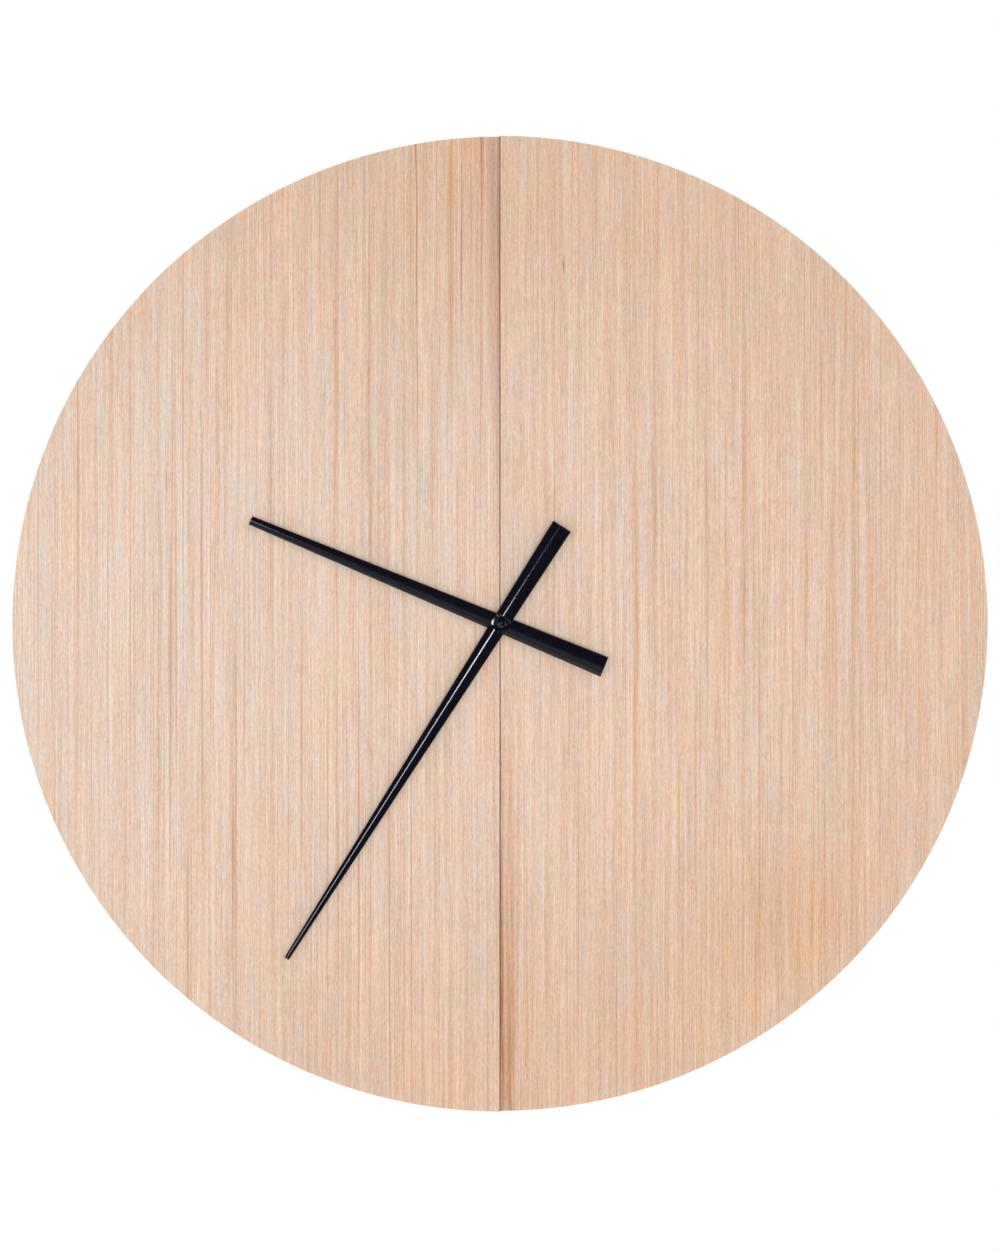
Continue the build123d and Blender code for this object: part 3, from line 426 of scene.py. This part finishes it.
leafRight = {
    "offset": (41.0, 0, 17.0),
    "markOffset": (9.4, 2.2, 1.3),
    "lines": 0.35,
    "marks": [
        # The first two marks, red-brown and brown along the seam low on the right leaf, where the
        # proud left leaf shades it, are painted shade, reddened like light bounced off the wood.
        (0.6, -290, 3.0, 330, "redBrown", 1.0), (6.5, -290, 5.0, 300, "brown", 0.8),
        (29, 0, 1.8, 400, "orange", 0.4), (33, 120, 1.6, 260, "redBrown", 0.3),
        (70, -80, 2.0, 320, "brown", 0.4), (83.5, 0, 2.4, 400, "orange", 0.7),
        (95, 40, 3.0, 300, "brown", 0.4), (111, -60, 2.0, 300, "orange", 0.4),
        (127, 60, 2.0, 300, "brown", 0.4), (139, -40, 1.8, 300, "orange", 0.4),
        # The large orange patch low on the right, last on the next line, is painted light falloff:
        # warmer where less light falls.
        (150, 20, 2.6, 320, "brown", 0.5), (172, -176, 70, 85, "orange", 0.35),
        (205, 0, 2.4, 300, "orange", 0.4), (217, -30, 2.4, 280, "brown", 0.4),
        (39, 220, 0.6, 8, "fleck", 0.8), (41, -138, 0.6, 9, "fleck", 0.7),
        (117, -148, 0.6, 12, "fleck", 0.6), (33.5, 196, 0.5, 12, "fleck", 0.5),
    ],
}
leafBack = {
    "offset": (83.0, 0, 29.0),
    "markOffset": (5.2, 1.1, 3.9),
    "lines": 0.45,
    "marks": [
        (-212, 20, 2.4, 300, "brown", 0.5), (-150, 0, 3.0, 400, "orange", 0.7),
        (-120, 60, 5.0, 330, "brown", 0.5), (-68, -30, 2.0, 360, "redBrown", 0.5),
        (-31, 40, 3.0, 400, "orange", 0.6), (22, -60, 2.2, 330, "brown", 0.5),
        (64, 30, 4.0, 400, "orange", 0.6), (104, -80, 2.0, 300, "redBrown", 0.5),
        (143, 40, 3.4, 330, "brown", 0.5), (196, 0, 2.6, 300, "orange", 0.5),
    ],
}
backVeneer = veneerMaterial("slicedOakVeneerBack", leafBack)
rimBand = edgeBandMaterial("oakBandingRim", True)
seamBand = edgeBandMaterial("oakBandingSeam", False)
woods = {
    "left_face_veneer": veneerMaterial("slicedOakVeneerLeft", leafLeft),
    "right_face_veneer": veneerMaterial("slicedOakVeneerRight", leafRight),
}
for side in ("left", "right"):
    woods[side + "_back_veneer"] = backVeneer
    woods[side + "_rim_band"] = rimBand
    woods[side + "_seam_band"] = seamBand

for sub in record["subparts"]:
    material = woods.get(sub["node"], materials.get(sub["material_slot"]))
    for socket in nodes[sub["node"]].material_slots:
        socket.material = material
print("materials made:", len(materials) + len(set(woods.values())))

# The hands: half-round channels of formed sheet, tapering from tail to tip, pressed low across
# the eye and flat under the nut. Sizes in mm.
handSizes = {
    "both": {
        "Sheet": 0.4, "Crown Ratio": 0.22, "Eye Radius": 6.2, "Eye Crown": 0.4, "Seat Radius": 3.3,
        "Press Radius": 3.4, "Ramp": 1.2,
    },
    "hour_hand": {"Tip": 166, "Tail": 69.5, "Tip Width": 5.6, "Tail Width": 13.1, "Hole Radius": 3.0},
    "minute_hand": {"Tip": 244, "Tail": 71, "Tip Width": 3.0, "Tail Width": 13.0, "Hole Radius": 1.2},
}
# How fine the hands' meshes are, how softly the eye and the nut's seat run out, and how much of
# a CAD hand's end counts as its square-cut tip. Sizes in mm, the angle in degrees.
handMesh = {
    "pointsAcross": 41, "pointsAlong": 301, "weld": 0.001, "drillSides": 48, "drillDepth": 8.0,
    "eyeBlend": 0.4, "seatEdge": (-0.2, 0.1), "sharpAngle": 40, "squareTip": 0.1,
}


def rowPlace(tree, size, row):
    # where a row of the grid lies along the hand, from the tail, which is minus, to the tip: rows
    # close up towards the eye, where the shape changes fastest
    start = addNode(tree, "ShaderNodeMath", (size["Tail"], size["Tip"]), operation="DIVIDE")
    start = addNode(tree, "ShaderNodeMath", (start,), operation="SQRT")
    start = addNode(tree, "ShaderNodeMath", (start, -1.0), operation="MULTIPLY")
    row = addNode(tree, "ShaderNodeMapRange", (row, -0.5, 0.5, start, 1.0))
    along = addNode(tree, "ShaderNodeMath", (row,), operation="ABSOLUTE")
    along = addNode(tree, "ShaderNodeMath", (along, row), operation="MULTIPLY")
    return addNode(tree, "ShaderNodeMath", (along, size["Tip"]), operation="MULTIPLY")


def halfOutline(tree, size, width, placeSquare):
    # half the hand's width, and the round eye where it is wider than the channel
    half = addNode(tree, "ShaderNodeMath", (width, 0.5), operation="MULTIPLY")
    eyeSquare = addNode(tree, "ShaderNodeMath", (size["Eye Radius"], 2.0), operation="POWER")
    inEye = addNode(tree, "ShaderNodeMath", (eyeSquare, placeSquare), operation="SUBTRACT")
    inEye = addNode(tree, "ShaderNodeMath", (inEye, 0.0), operation="MAXIMUM")
    inEye = addNode(tree, "ShaderNodeMath", (inEye,), operation="SQRT")
    return addNode(tree, "ShaderNodeMath", (half, inEye, handMesh["eyeBlend"]),
        operation="SMOOTH_MAX")


def skinHeight(tree, size, across, outward, along, width, placeSquare):
    # the crown is half an ellipse across, and runs down to the low crown of the eye
    fromEye = addNode(tree, "ShaderNodeMath", (along,), operation="ABSOLUTE")
    full = addNode(tree, "ShaderNodeMath", (size["Press Radius"], size["Ramp"]), operation="ADD")
    rise = addNode(tree, "ShaderNodeMapRange", (
        fromEye, size["Press Radius"], full, 0.0, 1.0), interpolation_type="SMOOTHSTEP")
    crown = addNode(tree, "ShaderNodeMath", (width, size["Crown Ratio"]), operation="MULTIPLY")
    crown = addNode(tree, "ShaderNodeMapRange", (rise, 0.0, 1.0, size["Eye Crown"], crown))
    arch = addNode(tree, "ShaderNodeMath", (across, across), operation="MULTIPLY")
    arch = addNode(tree, "ShaderNodeMath", (1.0, arch), operation="SUBTRACT", use_clamp=True)
    arch = addNode(tree, "ShaderNodeMath", (arch,), operation="SQRT")
    # the nut's seat is flat
    fromAxis = addNode(tree, "ShaderNodeMath", (outward, outward, placeSquare),
        operation="MULTIPLY_ADD")
    fromAxis = addNode(tree, "ShaderNodeMath", (fromAxis,), operation="SQRT")
    offSeat = addNode(tree, "ShaderNodeMath", (fromAxis, size["Seat Radius"]), operation="SUBTRACT")
    offSeat = addNode(tree, "ShaderNodeMapRange", (offSeat, *handMesh["seatEdge"], 0.0, 1.0))
    arch = addNode(tree, "ShaderNodeMath", (arch, offSeat), operation="MULTIPLY")
    return addNode(tree, "ShaderNodeMath", (crown, arch, size["Sheet"]), operation="MULTIPLY_ADD")


def handTree():
    # a flat grid is bent into the channel's outer skin, then given its thickness and its hole
    tree = bpy.data.node_groups.new("formedHand", "GeometryNodeTree")
    tree.interface.new_socket("Geometry", in_out="OUTPUT", socket_type="NodeSocketGeometry")
    for name in [*handSizes["hour_hand"], *handSizes["both"]]:
        tree.interface.new_socket(name, in_out="INPUT", socket_type="NodeSocketFloat")
    tree.interface.new_socket("Finish", in_out="INPUT", socket_type="NodeSocketMaterial")
    size = addNode(tree, "NodeGroupInput").node.outputs
    grid = addNode(tree, "GeometryNodeMeshGrid", {
        "Size X": 1.0, "Size Y": 1.0,
        "Vertices X": handMesh["pointsAcross"], "Vertices Y": handMesh["pointsAlong"]})
    position = addNode(tree, "GeometryNodeInputPosition")
    flat = addNode(tree, "ShaderNodeSeparateXYZ", (position,)).node.outputs
    across = addNode(tree, "ShaderNodeMath", (flat["X"], 2.0), operation="MULTIPLY")  # -1 to 1
    along = rowPlace(tree, size, flat["Y"])
    end = addNode(tree, "ShaderNodeMath", (size["Tail"], -1.0), operation="MULTIPLY")
    width = addNode(tree, "ShaderNodeMapRange", (
        along, end, size["Tip"], size["Tail Width"], size["Tip Width"]))
    placeSquare = addNode(tree, "ShaderNodeMath", (along, along), operation="MULTIPLY")
    half = halfOutline(tree, size, width, placeSquare)
    outward = addNode(tree, "ShaderNodeMath", (across, half), operation="MULTIPLY")
    height = skinHeight(tree, size, across, outward, along, width, placeSquare)
    point = addNode(tree, "ShaderNodeCombineXYZ", (outward, along, height))
    skin = addNode(tree, "GeometryNodeSetPosition", {"Geometry": grid, "Position": point})
    thickness = addNode(tree, "ShaderNodeMath", (size["Sheet"], -1.0), operation="MULTIPLY")
    down = addNode(tree, "ShaderNodeCombineXYZ", {"Z": thickness})
    shell = addNode(tree, "GeometryNodeExtrudeMesh", {
        "Mesh": skin, "Offset": down, "Offset Scale": 1.0, "Individual": False}, mode="FACES")
    under = addNode(tree, "GeometryNodeFlipFaces", (shell,))
    joined = addNode(tree, "GeometryNodeJoinGeometry", (skin,))
    tree.links.new(under, joined.node.inputs[0])
    welded = addNode(tree, "GeometryNodeMergeByDistance", {
        "Geometry": joined, "Distance": handMesh["weld"]})
    drill = addNode(tree, "GeometryNodeMeshCylinder", {
        "Vertices": handMesh["drillSides"], "Radius": size["Hole Radius"],
        "Depth": handMesh["drillDepth"]})
    drilled = addNode(tree, "GeometryNodeMeshBoolean", {"Mesh 1": welded, "Mesh 2": drill},
        operation="DIFFERENCE")
    real = addNode(tree, "GeometryNodeRealizeInstances", (drilled,))
    finished = addNode(tree, "GeometryNodeSetMaterial", {
        "Geometry": real, "Material": size["Finish"]})
    addNode(tree, "NodeGroupOutput", (finished,))
    return tree


def bearingOf(node):
    # clockwise turn from twelve of the hand's long end: the middle of its square-cut tip
    points = [v.co for v in nodes[node].data.vertices]
    reach = max(math.hypot(p.x - hub.x, p.z - hub.z) for p in points)
    tipFrom = reach - handMesh["squareTip"] * mm
    tip = [p for p in points if math.hypot(p.x - hub.x, p.z - hub.z) > tipFrom]
    middle = sum(tip, Vector()) / len(tip)
    return math.atan2(middle.x - hub.x, middle.z - hub.z)


def makeHand(name, node, tree):
    holder = bpy.data.objects.new(name + "Holder", bpy.data.meshes.new(name + "Holder"))
    bpy.context.scene.collection.objects.link(holder)
    modifier = holder.modifiers.new("form", "NODES")
    modifier.node_group = tree
    values = {**handSizes["both"], **handSizes[node], "Finish": materials["black_lacquer"]}
    for item in tree.interface.items_tree:
        if item.in_out == "INPUT":
            modifier[item.identifier] = values[item.name]
    bpy.context.view_layer.update()
    graph = bpy.context.evaluated_depsgraph_get()
    mesh = bpy.data.meshes.new_from_object(holder.evaluated_get(graph), depsgraph=graph)
    bpy.data.objects.remove(holder)
    # made lying down in mm, with its length up Y: stood up, turned, and set on its seat
    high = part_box(node)[1]
    standUp = Matrix.Rotation(math.radians(90), 4, "X")
    seat = Matrix.Translation((hub.x, high.y, hub.z)) @ Matrix.Rotation(bearingOf(node), 4, "Y")
    mesh.transform(seat @ standUp @ Matrix.Scale(mm, 4))
    work = bmesh.new()
    work.from_mesh(mesh)
    bmesh.ops.remove_doubles(work, verts=work.verts, dist=handMesh["weld"] * mm)
    bmesh.ops.recalc_face_normals(work, faces=work.faces)
    work.to_mesh(mesh)
    work.free()
    mesh.shade_smooth()
    mesh.set_sharp_from_angle(angle=math.radians(handMesh["sharpAngle"]))
    hand = bpy.data.objects.new(name, mesh)
    bpy.context.scene.collection.objects.link(hand)
    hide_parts(node)
    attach(hand, node)
    print(name, "made:", len(mesh.polygons), "faces")


formedHand = handTree()
makeHand("hourHandFormed", "hour_hand", formedHand)
makeHand("minuteHandFormed", "minute_hand", formedHand)

# The camera, straight in front and far off, so that the dial shows flat. Metres, film in mm.
frontView = {
    "distance": 9.0, "frameHeight": 0.769, "dialDepth": -0.030, "right": 0.0, "lift": -0.0008,
    "film": 36, "farthest": 50,
}


def addCamera():
    cam = bpy.data.cameras.new("camera")
    cam.sensor_width = frontView["film"]
    cam.lens = frontView["film"] * frontView["distance"] / frontView["frameHeight"]
    cam.clip_end = frontView["farthest"]
    camera = bpy.data.objects.new("camera", cam)
    bpy.context.scene.collection.objects.link(camera)
    camera.location = (
        frontView["right"], frontView["dialDepth"] - frontView["distance"],
        hub.z + frontView["lift"])
    camera.rotation_euler = (math.radians(90), 0, 0)
    bpy.context.scene.camera = camera


# Each lamp: turn to the right of straight ahead, height angle, distance in m, width and height
# in m, roll in degrees, watts, and whether it lights dull surfaces and shows in gloss. The two
# slots only draw the streak along the minute hand.
lamps = {
    "softLeft": (-28, -6, 3.0, 0.9, 0.9, 0, 11.5, True, True),
    "softRight": (30, 12, 3.0, 0.9, 1.0, 0, 13, True, True),
    "softFront": (0, -3, 3.5, 1.0, 1.0, 0, 60, True, False),
    "slotLeft": (-11.0, 0.0, 2.0, 0.18, 0.34, -32.4, 3.2, False, True),
    "slotNear": (-8.5, 3.8, 2.0, 0.18, 0.06, -32.4, 0.74, False, True),
    "softBehind": (180, 25, 2.8, 2.0, 1.6, 0, 60, True, True),
}


def addLamps():
    for name, (azimuth, elevation, distance, width, height, roll, watts, dull, gloss) in lamps.items():
        a, e = math.radians(azimuth), math.radians(elevation)
        way = Vector((math.sin(a) * math.cos(e), -math.cos(a) * math.cos(e), math.sin(e)))
        light = bpy.data.lights.new(name, "AREA")
        light.shape = "RECTANGLE"
        light.size, light.size_y = width, height
        light.energy = watts
        lamp = bpy.data.objects.new(name, light)
        bpy.context.scene.collection.objects.link(lamp)
        lamp.location = hub + way * distance
        lamp.visible_camera = False
        lamp.visible_diffuse = dull
        lamp.visible_glossy = gloss
        aim = (-way).to_track_quat("-Z", "Y").to_matrix().to_4x4()
        lamp.rotation_euler = (aim @ Matrix.Rotation(math.radians(roll), 4, "Z")).to_euler()


# The studio round the clock: how strongly it lights dull surfaces, and what gloss shows of it.
# lightEdge and backdropFrom say how far a direction has to point along lightFrom or along Y,
# where 0 is square to it and 1 is straight along it.
studio = {
    "ambient": 0.30,
    "glossDark": 0.055,
    "glossLight": 0.40,
    "lightFrom": (-0.536, 0.0, -0.844),
    "lightEdge": (0.02, 0.20),
    "backdropFrom": 0.35,
}


def addWorld():
    world = bpy.data.worlds.new("studio")
    bpy.context.scene.world = world
    world.use_nodes = True
    tree = world.node_tree
    tree.nodes.clear()
    path = addNode(tree, "ShaderNodeLightPath").node.outputs
    here = addNode(tree, "ShaderNodeTexCoord", (), "Generated")
    # gloss sees the white backdrop behind the clock, and in front a dim room over a paler floor
    back = addNode(tree, "ShaderNodeSeparateXYZ", (here,), "Y")
    behind = addNode(tree, "ShaderNodeMath", (back, studio["backdropFrom"]),
        operation="GREATER_THAN")
    below = addNode(tree, "ShaderNodeVectorMath", (here, studio["lightFrom"]), "Value",
        operation="DOT_PRODUCT")
    room = addNode(tree, "ShaderNodeMapRange", (
        below, *studio["lightEdge"], studio["glossDark"], studio["glossLight"]),
        interpolation_type="SMOOTHSTEP")
    gloss = addNode(tree, "ShaderNodeMix", {mixShare: behind, numberA: room, numberB: 1.0},
        data_type="FLOAT")
    seen = addNode(tree, "ShaderNodeMix", {
        mixShare: path["Is Glossy Ray"], numberA: studio["ambient"], numberB: gloss},
        data_type="FLOAT")
    # the camera, and anything clear, sees plain white
    clear = addNode(tree, "ShaderNodeMath", (path["Is Camera Ray"], path["Is Transmission Ray"]),
        operation="MAXIMUM")
    strength = addNode(tree, "ShaderNodeMix", {mixShare: clear, numberA: seen, numberB: 1.0},
        data_type="FLOAT")
    sky = addNode(tree, "ShaderNodeBackground", {"Color": (1, 1, 1, 1), "Strength": strength})
    addNode(tree, "ShaderNodeOutputWorld", {"Surface": sky})


# The floor, well below the clock. Its size and drop are in metres, its patches in mm.
floorLook = {
    "half": 2.6, "drop": 2.1, "light": "#F3F3F2", "dark": "#EDEDEC", "patch": 33,
    "roughness": 0.9, "seenAs": "#FAFAF9", "seenShare": 0.9,
}


def addFloor():
    half, level = floorLook["half"], hub.z - floorLook["drop"]
    mesh = bpy.data.meshes.new("floor")
    corners = [(-half, -half, level), (half, -half, level), (half, half, level), (-half, half, level)]
    mesh.from_pydata(corners, [], [(0, 1, 2, 3)])
    floor = bpy.data.objects.new("floor", mesh)
    bpy.context.scene.collection.objects.link(floor)
    # painted floor: pale, dull, faintly uneven, and near white to the camera
    material, tree, shader = newMaterial("paintedFloor")
    here = addNode(tree, "ShaderNodeTexCoord", (), "Object")
    patch = floorLook["patch"]
    patches = noiseLayers(tree, here, [(patch, patch, patch, 2, 1.0)])
    colour = addNode(tree, "ShaderNodeMix", {
        mixShare: patches, colourA: linear(floorLook["dark"]), colourB: linear(floorLook["light"])},
        colourMixed, data_type="RGBA")
    tree.links.new(colour, shader.inputs["Base Color"])
    shader.inputs["Roughness"].default_value = floorLook["roughness"]
    glow = addNode(tree, "ShaderNodeEmission", {"Color": linear(floorLook["seenAs"])})
    seen = addNode(tree, "ShaderNodeLightPath", (), "Is Camera Ray")
    seen = addNode(tree, "ShaderNodeMath", (seen, floorLook["seenShare"]), operation="MULTIPLY")
    mixed = addNode(tree, "ShaderNodeMixShader", (seen, shader.outputs[0], glow))
    output = next(node for node in tree.nodes if node.type == "OUTPUT_MATERIAL")
    tree.links.new(mixed, output.inputs["Surface"])
    mesh.materials.append(material)


addCamera()
addLamps()
addWorld()
addFloor()
bpy.context.scene.view_settings.view_transform = "Standard"
print("camera, lamps and floor placed")
